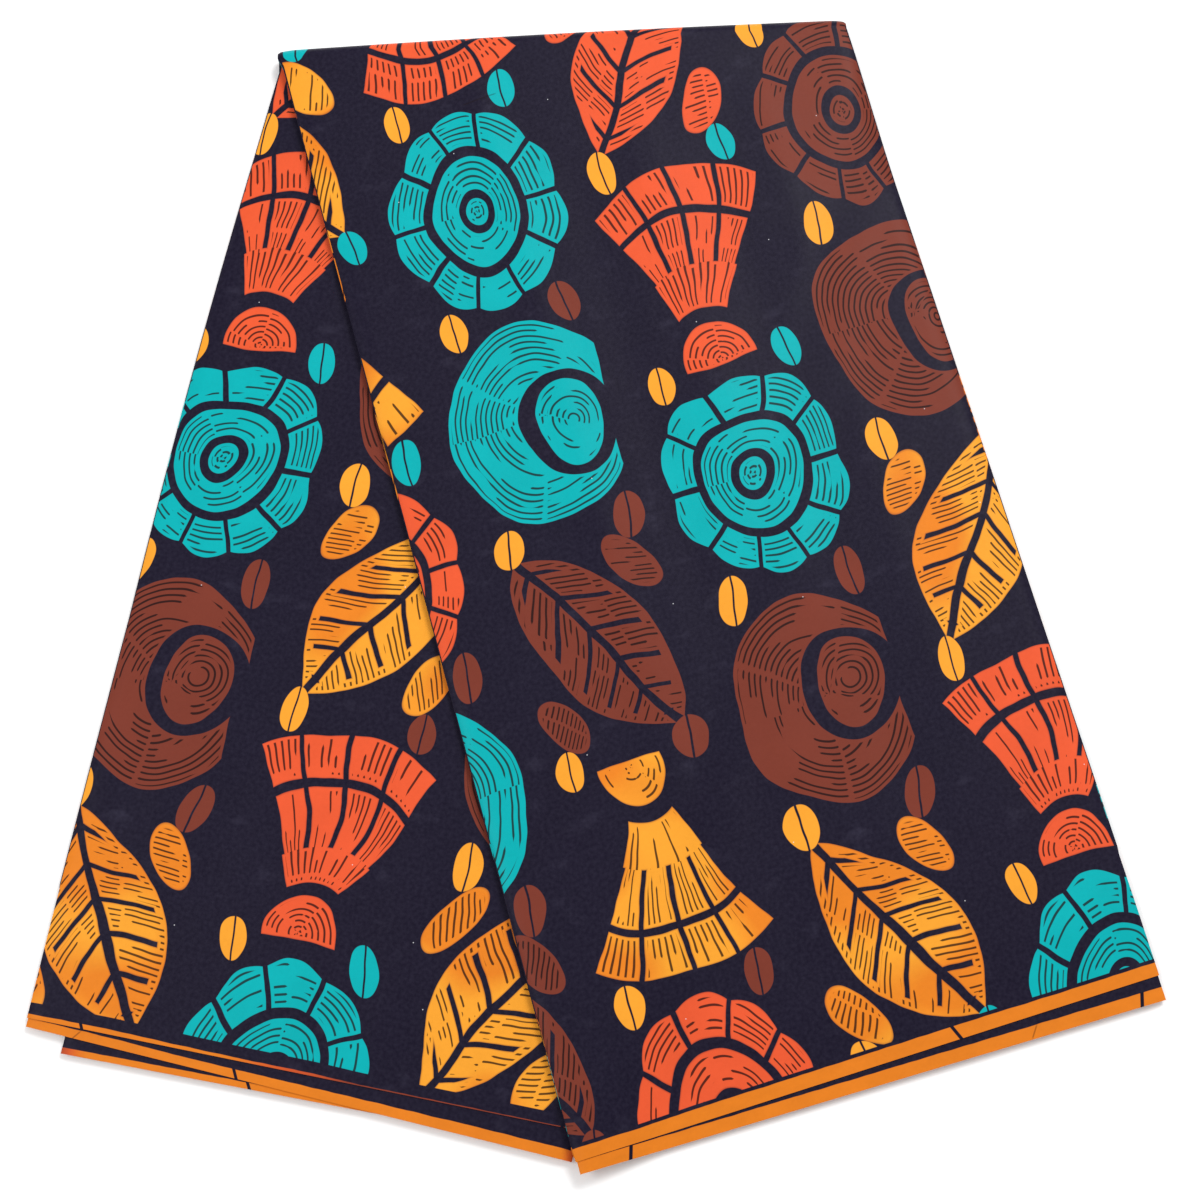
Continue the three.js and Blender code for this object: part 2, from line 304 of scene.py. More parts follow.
class WaxPrintSizes(PropertyGroup):
    """Sizes of the cloth that a user may change."""

    ply: distance("Ply", "Thickness of one ply of the cloth", 0.00042, 0.0002, 0.001)
    unevenness: distance(
        "Unevenness", "How far the pressed stack rises and sinks between its creases", 0.00026, 0.0, 0.0006
    )
    border: distance(
        "Selvedge border", "Width of the plain printed band along each selvedge", 0.0068, 0.002, 0.03
    )
    motif_width: distance("Motif pitch across", "Distance between columns of motifs", 0.104, 0.02, 0.4)
    motif_height: distance("Motif pitch along", "Distance between motifs in a column", 0.126, 0.02, 0.4)


def dye(name, description, red, green, blue):
    """A colour property, from a display colour of 0 to 255 for each part."""

    def linear(part):
        share = part / 255
        return share / 12.92 if share <= 0.04045 else ((share + 0.055) / 1.055) ** 2.4

    return FloatVectorProperty(
        name=name,
        description=description,
        default=(linear(red), linear(green), linear(blue), 1.0),
        min=0.0,
        max=1.0,
        size=4,
        subtype="COLOR",
    )


class WaxPrintDyes(PropertyGroup):
    """Colours of the print."""

    ground: dye("Ground", "Navy ground of the cloth", 19, 14, 33)
    # The line dye also darkens the fine pressed creases, as painted shade.
    line: dye("Line", "Fine lines cut through the motifs", 22, 9, 12)
    amber: dye("Amber", "Lighter orange of the motifs", 229, 151, 44)
    orange: dye("Orange", "Deeper orange of the motifs", 216, 121, 31)
    flame: dye("Flame", "Red orange of the motifs", 216, 83, 46)
    teal: dye("Teal", "Blue green of the motifs", 0, 161, 165)
    # Brown and rust also colour the painted shade at the tucked plies' curled band ends.
    brown: dye("Brown", "Red brown of the motifs", 114, 51, 38)
    border: dye("Border", "Band along the selvedge", 210, 116, 28)
    rust: dye("Rust", "Duller stretches of the band along the selvedge", 196, 80, 36)


class WaxPrintStudio(PropertyGroup):
    """The studio around the cloth."""

    floor_colour: FloatVectorProperty(
        name="Floor",
        description="Colour of the plain floor",
        default=(0.97, 0.97, 0.97, 1.0),
        min=0.0,
        max=1.0,
        size=4,
        subtype="COLOR",
    )
    key_power: FloatProperty(
        name="Key light",
        description="Power of the large soft light at the upper right",
        default=44.0,
        min=0.0,
        max=500.0,
        unit="POWER",
    )
    side_power: FloatProperty(
        name="Side light",
        description="Power of the small soft light at the left",
        default=10.0,
        min=0.0,
        max=500.0,
        unit="POWER",
    )
    fill_strength: FloatProperty(
        name="Fill light",
        description="Strength of the even light from all round",
        default=0.68,
        min=0.0,
        max=3.0,
    )
    camera_tilt: FloatProperty(
        name="Camera tilt",
        description="How far the camera leans back from looking straight down",
        default=math.radians(14.0),
        min=0.0,
        max=math.radians(90.0),
        subtype="ANGLE",
    )


# ---- The cloth's form ----


def smooth(value, low, high):
    share = np.clip((np.asarray(value, float) - low) / (high - low), 0.0, 1.0)
    return share * share * (3.0 - 2.0 * share)


def mix(low, high, share):
    return low + (high - low) * share


def direction(degrees):
    turn = math.radians(degrees)
    return np.array((math.cos(turn), math.sin(turn)))


LEFT = np.array(FOLD_LEFT)
ALONG = direction(FOLD_ANGLE)
RIGHT = LEFT + ALONG * FOLD_WIDTH
OUT = np.array((-ALONG[1], ALONG[0]))


def plan_point(leg, across, left_run, right_run):
    """The place on the floor at a share of a leg's width and at runs down its left and right side."""
    left = LEFT + np.multiply.outer(left_run, direction(leg["left"]))
    right = RIGHT + np.multiply.outer(right_run, direction(leg["right"]))
    place = left * (1 - across)[..., None] + right * across[..., None]
    share = np.minimum(left_run / leg["left_length"], 1.0)
    place[..., 0] -= leg["bow"] * (1 - across) * np.sin(np.pi * share)
    shoulder = np.sin(np.pi * np.minimum(share / SHOULDER_SHARE, 1.0))
    place[..., 0] -= leg["shoulder"] * (1 - across) * shoulder
    tip = np.clip(1 - across / FOLD_TIP_SHARE, 0, 1) ** 2 * (1 - smooth(left_run, 0, FOLD_TIP_REACH))
    place[..., 0] -= FOLD_TIP * tip
    arch = np.sin(np.pi * across) * (1 - smooth(left_run, 0, FOLD_ARCH_REACH))
    return place + FOLD_ARCH * arch[..., None] * OUT


def front_base(place):
    """The height of the front leg's underside: on the back leg, and down to the floor past it."""
    side = direction(BACK_LEG["right"])
    past = (place[..., 1] - RIGHT[1]) * side[0] - (place[..., 0] - RIGHT[0]) * side[1]
    return (STACK + LEG_GAP) * (1 - smooth(past, DROP_START, DROP_START + DROP_WIDTH))


def waver(across, run, phase):
    """A slow uneven rise and fall of up to 1, the same on each run of the script."""
    return (
        0.45 * np.sin(across / 31 + run / 83 + phase)
        + 0.3 * np.sin(across / 17 - run / 46 + 2.1 * phase)
        + 0.25 * np.sin(across / 61 + run / 23 + 3.7 * phase)
    )


def relief(leg_name, across, run):
    """How much a leg's stack rises or sinks at a place, in millimetres at its top."""
    leg = LEGS[leg_name]
    sizes = bpy.context.scene.wax_print_sizes
    run_length = mix(leg["left_length"], leg["right_length"], across)
    place = across * FOLD_WIDTH
    rise = -END_PRESS * smooth(run, run_length - END_PRESS_LENGTH, run_length)
    for crease in CREASES[leg_name]:
        side = np.clip(np.abs(place - crease["across"]) / crease["half_width"], 0, 1)
        fade = FOLD_EASE / 2
        begun = smooth(run, crease["from"], crease["from"] + fade)
        ended = smooth(run, crease["to"] - fade, crease["to"])
        rise = rise + crease["rise"] * begun * (1 - ended) * (0.5 + 0.5 * np.cos(np.pi * side))
    calm = smooth(run, 0, FOLD_EASE)
    return rise + calm * waver(place, run, WAVER_PHASES[leg_name]) * sizes.unevenness / MM


def stack_point(column, depth, roll_share, roll_on):
    """A column's distance from the leg's left side, and its depth, on a surface with rolled sides."""
    side, turn, share = column
    from_far = depth if roll_on == "front" else STACK - depth
    height = max(from_far - ROLL_END_DEPTH, 0.0)
    rolled = roll_share if height > 0 else 0.0
    reach = mix(ROLL_WIDTH - FLAT_EDGE_INSET, ROLL_WIDTH - (STACK - from_far), rolled)
    inset = ROLL_WIDTH - reach * np.sin(turn)
    sunk = rolled * height * (1 - np.cos(turn))
    flat = mix(ROLL_WIDTH, FOLD_WIDTH - ROLL_WIDTH, share)
    place = np.where(side == 0, flat, np.where(side < 0, inset, FOLD_WIDTH - inset))
    sunk = np.where(side == 0, 0.0, sunk)
    return place, depth - sunk if roll_on == "front" else depth + sunk


def columns_of(flat_count, roll_count, turn_end):
    """Columns across the strip: the side (-1, 0 or 1), the roll's turn, and the share of the flat middle."""
    turns = np.radians(turn_end) * np.linspace(0, 1, roll_count + 1)
    side = np.concatenate((-np.ones(roll_count + 1), np.zeros(flat_count - 1), np.ones(roll_count + 1)))
    turn = np.concatenate((turns[::-1], np.zeros(flat_count - 1), turns))
    share = np.concatenate(
        (np.zeros(roll_count + 1), np.arange(1, flat_count) / flat_count, np.ones(roll_count + 1))
    )
    return side, turn, share


def rows_of(front_count, fold_count, back_count, first_share=0.0):
    """Rows from the front leg's end over the fold to the back leg's, each a leg and a share or turn."""
    rows = []
    if front_count:
        for share in np.linspace(1, first_share, front_count + 1):
            rows.append(("front", share))
    if fold_count:
        for step in range(1, fold_count):
            rows.append(("fold", math.pi * step / fold_count))
    if back_count:
        for share in np.linspace(first_share, 1, back_count + 1):
            rows.append(("back", share))
    return rows


def roll_share_of(row, roll_on):
    leg_name, share = row
    front_share = 0.5
    if leg_name != "fold":
        away = 0.5 * float(smooth(share * LEGS[leg_name]["left_length"], 0, FOLD_EASE))
        front_share = 0.5 + away if leg_name == "front" else 0.5 - away
    return front_share if roll_on == "front" else 1 - front_share


def side_runs(leg, share, end):
    """The runs down a leg's left and right side, with the run past its end taken up in its last stretch."""
    past = share**END_TAKE_UP
    return share * leg["left_length"] + past * end[0], share * leg["right_length"] + past * end[1]


def length_at(leg, end, across):
    """A ply's whole length down a leg at shares of the width."""
    return mix(leg["left_length"] + end[0], leg["right_length"] + end[1], across)


def in_space(row, inset, depth, end=NO_END, push=0.0):
    """The places of a row's stack points, in millimetres. The end is how far the row's ply runs past."""
    leg_name, share = row
    across = inset / FOLD_WIDTH
    if leg_name == "fold":
        zero = np.zeros_like(across)
        foot = plan_point(FRONT_LEG, across, zero, zero)
        radius = depth + LEG_GAP / 2
        foot = foot + (radius * math.sin(share))[..., None] * OUT
        return np.column_stack((foot, FOLD_RADIUS + radius * math.cos(share)))
    leg = LEGS[leg_name]
    left_run, right_run = (run + push + 0 * across for run in side_runs(leg, share, end))
    foot = plan_point(leg, across, left_run, right_run)
    run = mix(left_run, right_run, across)
    stretch = 1 + relief(leg_name, across, run) / STACK
    from_under = depth if leg_name == "front" else STACK - depth
    base = front_base(foot) if leg_name == "front" else 0.0
    return np.column_stack((foot, base + from_under * stretch))


def run_of(row, inset, end=NO_END):
    """How far a row's points lie from the top fold's axis along their leg."""
    leg_name, share = row
    if leg_name == "fold":
        return np.zeros_like(inset)
    return mix(*side_runs(LEGS[leg_name], share, end), inset / FOLD_WIDTH)


# ---- Making meshes ----


def new_object(name, points, faces):
    """A mesh object at the origin, from points in millimetres."""
    mesh = bpy.data.meshes.new(name)
    mesh.from_pydata((np.asarray(points) * MM).tolist(), [], faces.tolist())
    mesh.update()
    made = bpy.data.objects.new(name, mesh)
    bpy.context.scene.collection.objects.link(made)
    return made


def paint_map(made, name, values):
    """A UV map of that name, from one pair of numbers for each point."""
    mesh = made.data
    layer = mesh.uv_layers.new(name=name)
    loops = np.zeros(len(mesh.loops), np.int32)
    mesh.loops.foreach_get("vertex_index", loops)
    layer.data.foreach_set("uv", np.asarray(values, np.float32)[loops].ravel())


def select_only(made):
    bpy.ops.object.select_all(action="DESELECT")
    made.select_set(True)
    bpy.context.view_layer.objects.active = made


def thicken(made, thickness):
    """Gives the sheet its thickness on its inner side."""
    select_only(made)
    wall = made.modifiers.new("Ply", "SOLIDIFY")
    wall.thickness = thickness
    wall.offset = -1.0
    wall.use_even_offset = True
    bpy.ops.object.modifier_apply(modifier=wall.name)
    bpy.ops.object.shade_smooth_by_angle(angle=math.radians(SHEET_SMOOTH_ANGLE))


def grid_faces(corner, flip):
    """Quads over a grid of point numbers."""
    a, b = corner[:-1, :-1].ravel(), corner[:-1, 1:].ravel()
    c, d = corner[1:, 1:].ravel(), corner[1:, :-1].ravel()
    return np.column_stack((a, d, c, b) if flip else (a, b, c, d))


def ply_sheet(name, rows, columns, depth, roll_on, ends, print_from, border, left_inset=0.0):
    """One ply as a sheet: its face lies at a depth of the stack, and its print runs from a selvedge.

    print_from names the leg from whose end the print's length is counted. border names the ply's row in the
    tables of borders and of print shifts.
    """
    shift = PRINT_SHIFTS[border]
    points, cloth, edge, marks = [], [], [], []
    border = BORDERS[border]
    lengths = {}
    fold_length = math.pi * (depth + LEG_GAP / 2)
    side_rows = []
    for row in rows:
        inset, deep = stack_point(columns, depth, roll_share_of(row, roll_on), roll_on)
        inset = mix(left_inset, FOLD_WIDTH, inset / FOLD_WIDTH)
        end = ends.get(row[0], NO_END)
        place = in_space(row, inset, deep, end)
        side_rows.append((row, inset, end))
        points.append(place)
        steps = np.linalg.norm(np.diff(place, axis=0), axis=1) * CLOTH_WIDTH / FOLD_WIDTH
        girth = np.concatenate(((0.0,), np.cumsum(steps)))
        cloth.append(np.column_stack((girth - girth[-1] / 2, np.zeros_like(girth))))
    for leg_name, end in ends.items():
        lengths[leg_name] = length_at(LEGS[leg_name], end, side_rows[0][1] / FOLD_WIDTH)
    other = "back" if print_from == "front" else "front"
    for number, (row, inset, end) in enumerate(side_rows):
        run = run_of(row, inset, end)
        if row[0] == print_from:
            far = lengths[print_from] - run
        elif row[0] == "fold":
            turn = row[1] if print_from == "front" else math.pi - row[1]
            far = lengths[print_from] + fold_length * turn / math.pi
        else:
            far = lengths[print_from] + fold_length + run
        near = far
        if other in lengths:
            near = np.minimum(far, lengths[print_from] + fold_length + lengths[other] - far)
        width_share = inset / FOLD_WIDTH
        hidden_hem = np.interp(width_share, *border["hem"])
        near = near + hidden_hem
        far = far + hidden_hem
        cloth[number][:, 0] += shift
        cloth[number][:, 1] = far
        edge.append(np.column_stack((near, np.full_like(near, border["margin"]))))
        from_tick = inset * CLOTH_WIDTH / FOLD_WIDTH - border["tick"] + border["lean"] * near
        # The marks map's second number browns the band: the inner ply's own red-brown stretch, and painted
        # shade at the tucked plies' ends.
        marks.append(np.column_stack((from_tick, np.interp(width_share, *border["browning_and_shade"]))))
    corner = np.arange(len(rows) * len(columns[0])).reshape(len(rows), len(columns[0]))
    made = new_object(name, np.concatenate(points), grid_faces(corner, flip=roll_on == "back"))
    paint_map(made, "cloth", np.concatenate(cloth) * MM)
    paint_map(made, "edge", np.concatenate(edge) * MM)
    paint_map(made, "marks", np.concatenate(marks) * MM)
    thicken(made, bpy.context.scene.wax_print_sizes.ply)
    return made


# ---- The print, as sums on the cloth's own map ----


class Amount:
    """A number at each point of the cloth, worked out by Math nodes."""

    def __init__(self, tree, socket):
        self.tree = tree
        self.socket = socket

    def __add__(self, other):
        return work("ADD", self, other)

    def __radd__(self, other):
        return work("ADD", other, self)

    def __sub__(self, other):
        return work("SUBTRACT", self, other)

    def __rsub__(self, other):
        return work("SUBTRACT", other, self)

    def __mul__(self, other):
        return work("MULTIPLY", self, other)

    def __rmul__(self, other):
        return work("MULTIPLY", other, self)

    def __truediv__(self, other):
        return work("DIVIDE", self, other)

    def __abs__(self):
        return work("ABSOLUTE", self)

    def floor(self):
        return work("FLOOR", self)

    def fract(self):
        return work("FRACT", self)

    def wrap(self, size):
        return work("FLOORED_MODULO", self, size)

    def root(self):
        return work("SQRT", self)


def work(operation, *values, clamp=False):
    """One Math node on these amounts or plain numbers."""
    tree = next(value.tree for value in values if isinstance(value, Amount))
    node = tree.nodes.new("ShaderNodeMath")
    node.operation = operation
    node.use_clamp = clamp
    for socket, value in zip(node.inputs, values):
        if isinstance(value, Amount):
            tree.links.new(value.socket, socket)
        else:
            socket.default_value = value
    return Amount(tree, node.outputs[0])


def least(first, *others):
    for other in others:
        first = work("MINIMUM", first, other)
    return first


def most(first, *others):
    for other in others:
        first = work("MAXIMUM", first, other)
    return first


def length_of(x, y):
    return (x * x + y * y).root()


def is_about(value, number):
    return work("COMPARE", value, number, 0.5)


def ramp(value, low, high):
    """0 below low, 1 above high, and even between."""
    return work("MULTIPLY_ADD", value, 1 / (high - low), -low / (high - low), clamp=True)


def soft_edge(distance, width=0.12):
    return ramp(distance, -width, width)


def combine(x, y):
    """A place on the plane, from its two numbers."""
    tree = next(value.tree for value in (x, y) if isinstance(value, Amount))
    node = tree.nodes.new("ShaderNodeCombineXYZ")
    for socket, value in zip(node.inputs, (x, y)):
        if isinstance(value, Amount):
            tree.links.new(value.socket, socket)
        else:
            socket.default_value = value
    return node.outputs[0]


def noise(x, y, detail=1.0, parts=False):
    """Smooth noise of about 0 to 1 over a plane; its three colour parts where parts is set."""
    tree = next(value.tree for value in (x, y) if isinstance(value, Amount))
    node = tree.nodes.new("ShaderNodeTexNoise")
    node.noise_dimensions = "2D"
    node.inputs["Scale"].default_value = 1.0
    node.inputs["Detail"].default_value = detail
    tree.links.new(combine(x, y), node.inputs["Vector"])
    if not parts:
        return Amount(tree, node.outputs["Fac"])
    split = tree.nodes.new("ShaderNodeSeparateColor")
    tree.links.new(node.outputs["Color"], split.inputs["Color"])
    return [Amount(tree, socket) for socket in split.outputs]


def chance(x, y):
    """Three even random numbers for each pair of whole numbers."""
    tree = x.tree
    node = tree.nodes.new("ShaderNodeTexWhiteNoise")
    node.noise_dimensions = "2D"
    tree.links.new(combine(x + 0.5, y + 0.5), node.inputs["Vector"])
    split = tree.nodes.new("ShaderNodeSeparateColor")
    tree.links.new(node.outputs["Color"], split.inputs["Color"])
    return [Amount(tree, socket) for socket in split.outputs]


def blend_colour(tree, share, first, second):
    """A colour between two, which are sockets or plain colours."""
    node = tree.nodes.new("ShaderNodeMix")
    node.data_type = "RGBA"
    if isinstance(share, Amount):
        tree.links.new(share.socket, node.inputs["Factor"])
    else:
        node.inputs["Factor"].default_value = share
    for socket, value in ((node.inputs[6], first), (node.inputs[7], second)):
        if isinstance(value, bpy.types.NodeSocket):
            tree.links.new(value, socket)
        else:
            socket.default_value = value
    return node.outputs[2]


def shade_colour(tree, colour, amount):
    """A colour made lighter or darker by an amount around 1."""
    node = tree.nodes.new("ShaderNodeVectorMath")
    node.operation = "SCALE"
    tree.links.new(colour, node.inputs[0])
    tree.links.new(amount.socket, node.inputs["Scale"])
    return node.outputs[0]


def leaf_motif(x, y):
    """A slanted leaf in blocks between its veins, with a seed on each side."""
    across = 0.866 * x + 0.5 * y
    along = 0.866 * y - 0.5 * x
    side = abs(across)
    contour = 76.6 - length_of(side + 47.6, along)
    slant = along - 0.8 * side
    vein = abs((slant / 20.0).fract() - 0.5) * 15.6 - SLIT_HALF
    leaf = least(contour, side - 2.0, most(vein, 5.0 - contour))
    seed_along = along * work("SIGN", across) - 16.0
    seed = 9.5 - length_of(side - 43.0, seed_along * 0.5)
    return most(leaf, seed), slant * 0.78, side * 1.28 + along * 0.4


def crescent_motif(x, y):
    """A thick open crescent around a seed."""
    tall = y / TALL
    radius = length_of(x, tall)
    inner_x = x - 15.0
    inner_y = tall - 4.0
    inner = length_of(inner_x, inner_y)
    crescent = least(46.0 - radius, inner - 24.5, 36.0 - x)
    seed = 16.0 - length_of(inner_x, inner_y * 0.8)
    in_seed = work("LESS_THAN", inner, 21.0)
    follow = radius + (inner - radius) * in_seed
    return most(crescent, seed), follow, work("ARCTAN2", tall, x - 4.0) * 30.0


def roundel_motif(x, y):
    """A ring of petals around a plain ring and a dot."""
    tall = y / TALL
    radius = length_of(x, tall)
    turn = work("ARCTAN2", tall, x)
    petals = 43.5 + 3.0 * abs(work("SINE", turn * float(PETALS)))
    slit = abs((turn * (PETALS / math.pi) + 0.5).fract() - 0.5) * radius * (math.pi / PETALS) - SLIT_HALF
    outer = least(petals - radius, radius - 29.0, slit)
    ring = least(24.5 - radius, radius - 10.5)
    return most(outer, ring, 6.5 - radius), radius, turn * 30.0


def fan_motif(x, y):
    """A ribbed fan with a band across it and a round base."""
    up = y / TALL + 44.0
    radius = length_of(x, up)
    turn = work("ARCTAN2", x, up)
    blade = least(88.0 - radius, (0.54 - abs(turn)) * radius, radius - 24.0)
    rib = abs((turn / RIB_TURN + 0.5).fract() - 0.5) * radius * RIB_TURN - SLIT_HALF
    blade = least(blade, most(rib, 42.0 - radius), abs(radius - 67.0) - 1.7)
    base = least(17.5 - radius, up + 3.0)
    in_base = work("LESS_THAN", radius, 20.0)
    spread = 33.0 + 32.0 * work("GREATER_THAN", radius, 42.0)
    follow = turn * spread + (radius - turn * spread) * in_base
    return most(blade, base), follow, radius + (turn * 30.0 - radius) * in_base


def painted_crease_shade(across, along):
    """Where the painted shade of the fine pressed creases lies, from 0 to 1."""
    lines = []
    for crease in PAINTED_CREASE_SHADES:
        step = direction(crease["angle"]).tolist()
        x = across - crease["across"]
        y = along - crease["along"]
        run = abs(x * step[0] + y * step[1])
        off = abs(y * step[0] - x * step[1])
        lines.append(ramp(crease["half"] - run, 0.0, 2.0) * ramp(0.4 - off, -0.1, 0.2))
    return most(*lines)


def print_material(name):
    """The printed cotton: motifs on a navy ground, a plain margin and the selvedge's border."""
    sizes = bpy.context.scene.wax_print_sizes
    dyes = bpy.context.scene.wax_print_dyes
    material = bpy.data.materials.new(name)
    material.use_nodes = True
    tree = material.node_tree
    shader = tree.nodes["Principled BSDF"]

    def map_of(map_name):
        node = tree.nodes.new("ShaderNodeUVMap")
        node.uv_map = map_name
        split = tree.nodes.new("ShaderNodeSeparateXYZ")
        tree.links.new(node.outputs["UV"], split.inputs["Vector"])
        return Amount(tree, split.outputs["X"]) / MM, Amount(tree, split.outputs["Y"]) / MM

    across, along = map_of("cloth")
    selvedge, margin = map_of("edge")
    from_tick, browning_and_shade = map_of("marks")

    # Hand-cut unevenness, slow and fine.
    slow_x, slow_y, tone = noise(across / SLOW_SIZE, along / SLOW_SIZE, detail=0.0, parts=True)
    fine_x, fine_y, _ = noise(across / FINE_SIZE, along / FINE_SIZE, detail=0.0, parts=True)
    drawn_x = across + (slow_x - 0.5) * SLOW_REACH + (fine_x - 0.5) * FINE_REACH
    drawn_y = along + (slow_y - 0.5) * SLOW_REACH + (fine_y - 0.5) * FINE_REACH

    # Half-drop cells.
    pitch_x = sizes.motif_width / MM
    pitch_y = sizes.motif_height / MM
    column_place = drawn_x / pitch_x
    column = column_place.floor()
    x = (column_place - column - 0.5) * pitch_x
    row_place = drawn_y / pitch_y + column.wrap(2.0) * 0.5
    row = row_place.floor()
    y = (row_place - row - 0.5) * pitch_y
    luck, flip_x, flip_y = chance(column, row)
    x_turned = x * (work("GREATER_THAN", flip_x, 0.5) * 2.0 - 1.0)
    y_turned = y * (work("GREATER_THAN", flip_y, 0.5) * 2.0 - 1.0)

    kind = (column * 2.0 + row).wrap(4.0)
    shapes = (leaf_motif, crescent_motif, roundel_motif, fan_motif)
    totals = None
    for number, shape in enumerate(shapes):
        chosen = is_about(kind, float(number))
        parts = [part * chosen for part in shape(x_turned * MOTIF_SCALE, y_turned * MOTIF_SCALE)]
        totals = parts if totals is None else [total + part for total, part in zip(totals, parts)]
    inside, follow, along_stroke = totals

    # Small seeds where three cells meet.
    gap_x = abs(x) - pitch_x * 0.316
    gap_y = abs(y) - pitch_y * 0.5
    seed = least(SEED_RADIUS - length_of(gap_x, gap_y * 0.62), abs(gap_x) - SEED_SLIT)

    # Fine cut lines that follow each stroke, in blocks and broken.
    block_place = along_stroke / BLOCK_LENGTH + luck
    block = block_place.floor()
    gauge = (follow + (slow_x - 0.5) * 4.0) / LINE_PITCH + block * 0.37
    line_number = gauge.floor()
    from_line = abs(gauge.fract() - 0.5) * LINE_PITCH
    broken = noise(along_stroke / 25.0, line_number * 3.1 + luck * 17.0 + block * 5.3, detail=0.0)
    sparse = noise(across / 38.0 + 9.0, along / 38.0, detail=0.0)
    present = ramp(broken + (0.5 - sparse) * 0.85, 0.37, 0.42)
    in_block = abs(block_place.fract() - 0.5) * BLOCK_LENGTH
    line_width = LINE_WIDTH * present * ramp(21.4 - in_block, 0.0, 0.8) - 0.1
    line = ramp(line_width - from_line, -0.08, 0.12) * ramp(inside, 1.3, 1.7)

    # The print stops straight at the margin.
    clear_of_margin = selvedge - margin - sizes.border / MM
    motif_share = soft_edge(least(inside, clear_of_margin))
    seed_share = soft_edge(least(seed, clear_of_margin))

    # Dyes.
    shift = (row / 4.0).floor() + (column / 3.0).floor()
    dye_number = (column * 2.0 + row * 3.0 + shift).wrap(4.0)
    warm = blend_colour(tree, ramp(tone, 0.42, 0.58), tuple(dyes.amber), tuple(dyes.orange))
    colour = blend_colour(tree, is_about(dye_number, 1.0), warm, tuple(dyes.flame))
    colour = blend_colour(tree, is_about(dye_number, 2.0), colour, tuple(dyes.teal))
    colour = blend_colour(tree, is_about(dye_number, 3.0), colour, tuple(dyes.brown))
    rim = (1.0 - ramp(inside, 0.15, 0.65)) * (1.0 - is_about(dye_number, 2.0)) * RIM_SHARE
    colour = blend_colour(tree, rim, colour, tuple(dyes.brown))
    cut_colour = blend_colour(tree, CUT_LIGHTNESS, tuple(dyes.line), colour)
    colour = blend_colour(tree, line, colour, cut_colour)
    seed_luck = chance(column + 60.0, (row_place + 0.5).floor())[0]
    is_brown = work("GREATER_THAN", seed_luck, 0.5)
    second_seed = blend_colour(tree, is_brown, tuple(dyes.teal), tuple(dyes.brown))
    seed_colour = blend_colour(tree, work("GREATER_THAN", x, 0.0), tuple(dyes.amber), second_seed)
    grainy = noise(across / 2.1, along / 2.1, detail=2.0)
    scuff = ramp(noise(across / 19.0 + 31.0, along / 12.0, detail=6.0), 0.61, 0.84) * 0.036
    veil = work("ADD", (grainy - 0.5) * 0.045 + 0.010, scuff, clamp=True)
    ground = blend_colour(tree, veil, tuple(dyes.ground), VEIL_COLOUR)
    printed = blend_colour(tree, seed_share, ground, seed_colour)
    printed = blend_colour(tree, motif_share, printed, colour)

    # The selvedge's border, with a dark registration tick now and then.
    uneven = (noise(across / 9.0, along / 40.0) - 0.5) * 0.5
    border_share = soft_edge(sizes.border / MM + uneven - selvedge)
    tick = soft_edge(TICK_HALF - abs((from_tick / TICK_REPEAT + 0.5).fract() - 0.5) * TICK_REPEAT)
    border_tone = 0.94 + noise(across / 14.0, along / 5.0, detail=2.0) * 0.12
    # The band turns rust and brown where the marks map says so: the inner ply's own red-brown stretch, and
    # painted shade at the tucked plies' curled and turned-under ends.
    border_colour = blend_colour(tree, ramp(browning_and_shade, 0.0, 0.5), tuple(dyes.border), tuple(dyes.rust))
    border_colour = blend_colour(tree, ramp(browning_and_shade, 0.4, 1.0) * 0.85, border_colour, tuple(dyes.brown))
    border_colour = shade_colour(tree, border_colour, border_tone)
    border_colour = blend_colour(tree, tick, border_colour, tuple(dyes.ground))
    printed = blend_colour(tree, border_share, printed, border_colour)

    # Uneven dye, specks of lint, and the fine pressed creases as thin lines of painted shade.
    cloudy = noise(across / 26.0 + 3.0, along / 26.0, detail=3.0)
    printed = shade_colour(tree, printed, 0.88 + cloudy * 0.16 + grainy * 0.08)
    speck = tree.nodes.new("ShaderNodeTexVoronoi")
    speck.voronoi_dimensions = "2D"
    speck.inputs["Scale"].default_value = 1.0
    tree.links.new(combine(across / LINT_SPACING, along / LINT_SPACING), speck.inputs["Vector"])
    lint = soft_edge(LINT_RADIUS - Amount(tree, speck.outputs["Distance"]) * LINT_SPACING)
    printed = blend_colour(tree, lint * 0.75, printed, LINT_COLOUR)
    # Painted shade: the fine creases darken the cloth halfway toward the line dye.
    printed = blend_colour(tree, painted_crease_shade(across, along) * 0.5, printed, tuple(dyes.line))
    tree.links.new(printed, shader.inputs["Base Color"])

    # Plain weave and the light glaze of a waxed finish.
    warp = abs((across / THREAD).fract() - 0.5)
    weft = abs((along / THREAD).fract() - 0.5)
    over = work("GREATER_THAN", ((across / THREAD).floor() + (along / THREAD).floor()).wrap(2.0), 0.5)
    weave = warp * over + weft * (1.0 - over)
    rumple = noise(across / 4.0, along / 4.0, detail=3.0)
    bump = tree.nodes.new("ShaderNodeBump")
    bump.inputs["Strength"].default_value = BUMP_STRENGTH
    bump.inputs["Distance"].default_value = BUMP_HEIGHT
    tree.links.new((weave * 0.5 + rumple * 1.6).socket, bump.inputs["Height"])
    tree.links.new(bump.outputs["Normal"], shader.inputs["Normal"])
    tree.links.new((CLOTH_ROUGHNESS + cloudy * 0.1).socket, shader.inputs["Roughness"])
    shader.inputs["Specular IOR Level"].default_value = CLOTH_GLOSS
    shader.inputs["Sheen Weight"].default_value = CLOTH_SHEEN
    shader.inputs["Sheen Roughness"].default_value = CLOTH_SHEEN_ROUGHNESS
    return material


